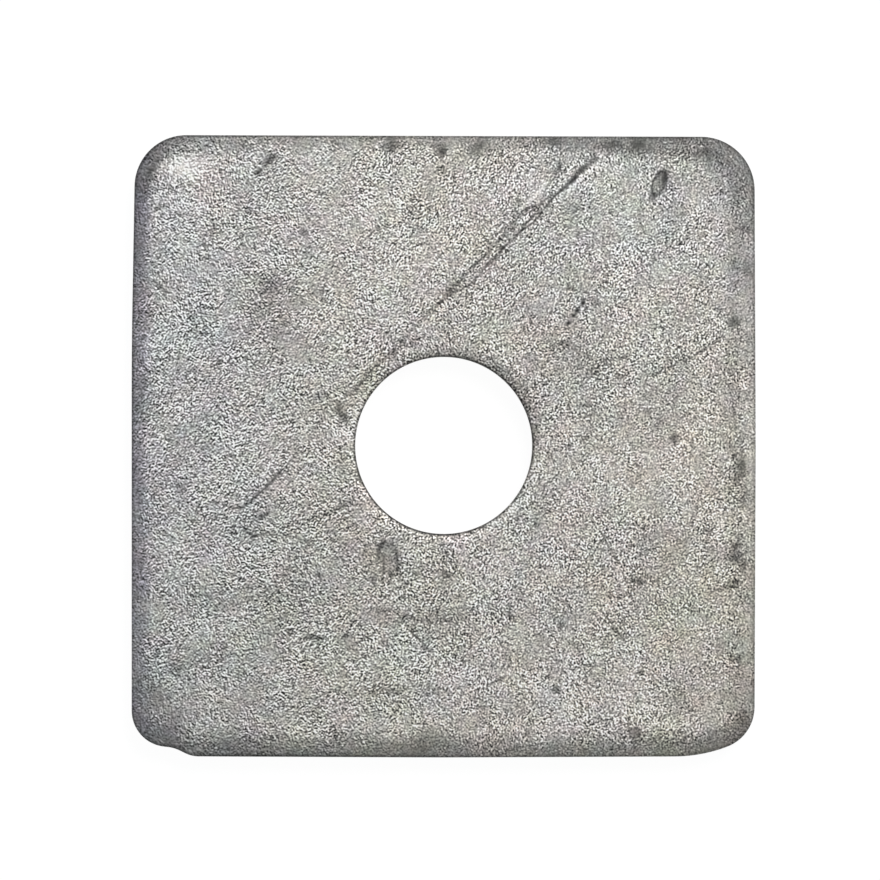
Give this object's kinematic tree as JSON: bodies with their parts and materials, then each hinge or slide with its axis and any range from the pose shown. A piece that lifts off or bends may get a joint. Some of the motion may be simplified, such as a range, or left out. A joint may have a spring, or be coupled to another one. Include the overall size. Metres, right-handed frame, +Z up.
{
  "type": "square plate washer",
  "caption": "Square galvanised steel plate washer with a central punched clearance hole, cropped round corners and rolled edges, to spread a bolt's load on timber or slotted channel.",
  "frame": {"origin": "middle of the underside, on the axis of the bolt hole", "axes": "+Z up out of the upper, die-rolled face along the bolt's axis; +X to the right side and +Y to the back side as seen from above, with the lipped front side at -Y"},
  "size_m": [0.05, 0.05, 0.003],
  "materials": {
    "zinc": "weathered hot-dip zinc"
  },
  "bodies": {
    "root": {"plate": "zinc"}
  },
  "joints": []
}
